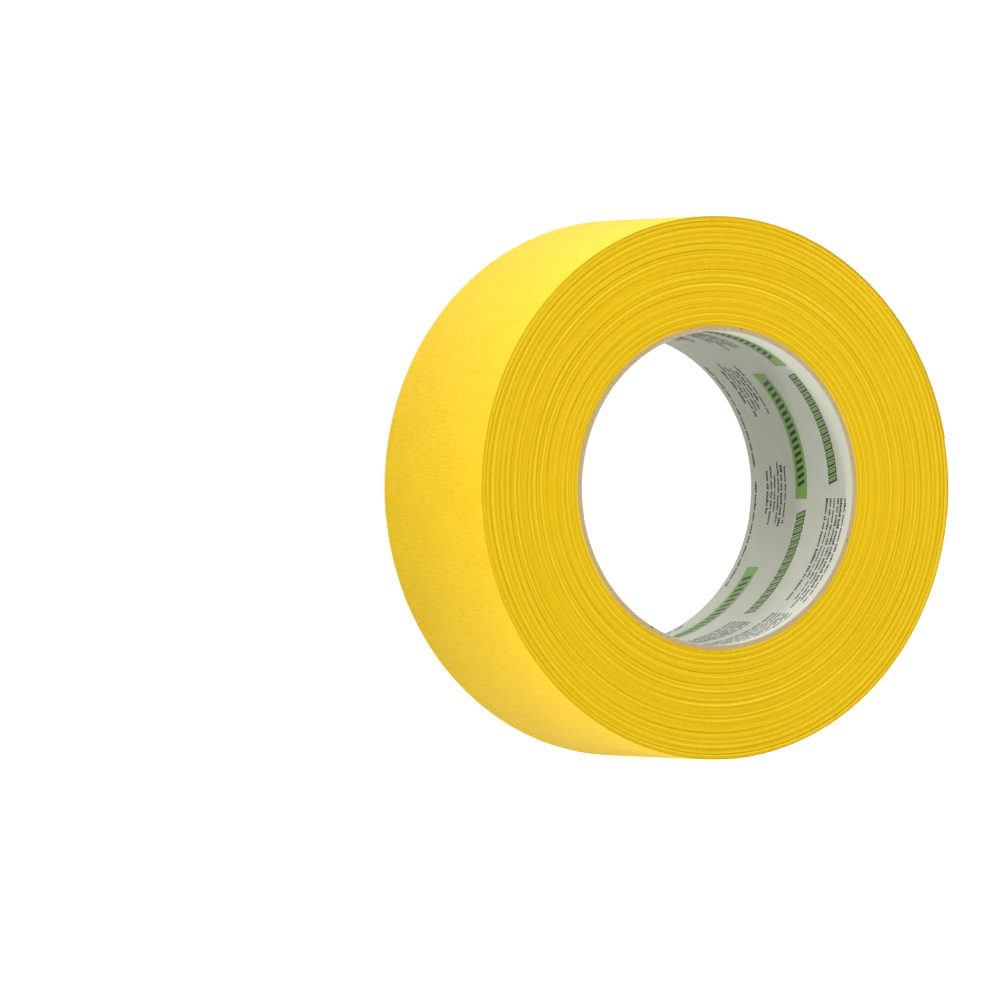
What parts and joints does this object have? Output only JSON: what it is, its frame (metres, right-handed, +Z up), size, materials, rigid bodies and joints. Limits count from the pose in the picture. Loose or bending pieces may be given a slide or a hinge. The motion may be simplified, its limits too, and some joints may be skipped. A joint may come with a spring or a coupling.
{
  "type": "masking tape roll",
  "caption": "Roll of yellow crepe paper masking tape on a printed paperboard core, with a free end that peels off the rim.",
  "frame": {"origin": "centre of the core, on the roll's axis at the middle of the tape's width", "axes": "+Y along the roll's axis into the back side face, +Z up with the roll standing on its rim, the free end of the tape on the +X side"},
  "size_m": [0.1317, 0.048, 0.1318],
  "materials": {
    "liner": "printed, slightly coated",
    "kraft": "matt kraft board",
    "tape_backing": "crepe, satin",
    "tape_side": "cut edges, matt",
    "adhesive": "tacky, glossy"
  },
  "bodies": {
    "roll": {"core_liner": "liner", "core_inner_ply": "kraft", "core_middle_ply": "kraft", "core_outer_ply": "kraft", "tape_first_turn": "tape_side", "tape_wound_turns": "tape_side", "tape_last_turn": "tape_backing"},
    "tape_end_01": {"tape_end_backing_01": "tape_backing", "tape_end_adhesive_01": "adhesive"},
    "tape_end_02": {"tape_end_backing_02": "tape_backing", "tape_end_adhesive_02": "adhesive"},
    "tape_end_03": {"tape_end_backing_03": "tape_backing", "tape_end_adhesive_03": "adhesive"},
    "tape_end_04": {"tape_end_backing_04": "tape_backing", "tape_end_adhesive_04": "adhesive"},
    "tape_end_05": {"tape_end_backing_05": "tape_backing", "tape_end_adhesive_05": "adhesive"},
    "tape_end_06": {"tape_end_backing_06": "tape_backing", "tape_end_adhesive_06": "adhesive"},
    "tape_end_07": {"tape_end_backing_07": "tape_backing", "tape_end_adhesive_07": "adhesive"},
    "tape_end_08": {"tape_end_backing_08": "tape_backing", "tape_end_adhesive_08": "adhesive"},
    "tape_end_09": {"tape_end_backing_09": "tape_backing", "tape_end_adhesive_09": "adhesive"},
    "tape_end_10": {"tape_end_backing_10": "tape_backing", "tape_end_adhesive_10": "adhesive"}
  },
  "joints": [
    {"name": "tape_end_lift", "type": "hinge", "parent": "roll", "child": "tape_end_01", "pos_m": [0.02202, 0, 0.06219], "axis": [0, -1, 0], "range_deg": [0, 24]},
    {"name": "tape_end_bend_02", "type": "hinge", "parent": "tape_end_01", "child": "tape_end_02", "pos_m": [0.0284, 0, 0.05955], "axis": [0, -1, 0], "range_deg": [0, 20]},
    {"name": "tape_end_bend_03", "type": "hinge", "parent": "tape_end_02", "child": "tape_end_03", "pos_m": [0.03447, 0, 0.05626], "axis": [0, -1, 0], "range_deg": [0, 16]},
    {"name": "tape_end_curl", "type": "hinge", "parent": "tape_end_03", "child": "tape_end_04", "pos_m": [0.04017, 0, 0.05235], "axis": [0, -1, 0], "range_deg": [0, 9]},
    {"name": "tape_end_bend_05", "type": "hinge", "parent": "tape_end_04", "child": "tape_end_05", "pos_m": [0.04542, 0, 0.04786], "axis": [0, -1, 0], "range_deg": [0, 9]},
    {"name": "tape_end_bend_06", "type": "hinge", "parent": "tape_end_05", "child": "tape_end_06", "pos_m": [0.05018, 0, 0.04285], "axis": [0, -1, 0], "range_deg": [0, 9]},
    {"name": "tape_end_bend_07", "type": "hinge", "parent": "tape_end_06", "child": "tape_end_07", "pos_m": [0.05438, 0, 0.03738], "axis": [0, -1, 0], "range_deg": [0, 9]},
    {"name": "tape_end_bend_08", "type": "hinge", "parent": "tape_end_07", "child": "tape_end_08", "pos_m": [0.05799, 0, 0.03149], "axis": [0, -1, 0], "range_deg": [0, 9]},
    {"name": "tape_end_bend_09", "type": "hinge", "parent": "tape_end_08", "child": "tape_end_09", "pos_m": [0.06097, 0, 0.02525], "axis": [0, -1, 0], "range_deg": [0, 9]},
    {"name": "tape_end_bend_10", "type": "hinge", "parent": "tape_end_09", "child": "tape_end_10", "pos_m": [0.06328, 0, 0.01874], "axis": [0, -1, 0], "range_deg": [0, 9]}
  ],
  "couplings": [
    {"joint": "tape_end_bend_02", "follows": "tape_end_lift", "ratio": 0.83333},
    {"joint": "tape_end_bend_03", "follows": "tape_end_lift", "ratio": 0.66667},
    {"joint": "tape_end_bend_05", "follows": "tape_end_curl", "ratio": 1},
    {"joint": "tape_end_bend_06", "follows": "tape_end_curl", "ratio": 1},
    {"joint": "tape_end_bend_07", "follows": "tape_end_curl", "ratio": 1},
    {"joint": "tape_end_bend_08", "follows": "tape_end_curl", "ratio": 1},
    {"joint": "tape_end_bend_09", "follows": "tape_end_curl", "ratio": 1},
    {"joint": "tape_end_bend_10", "follows": "tape_end_curl", "ratio": 1}
  ]
}
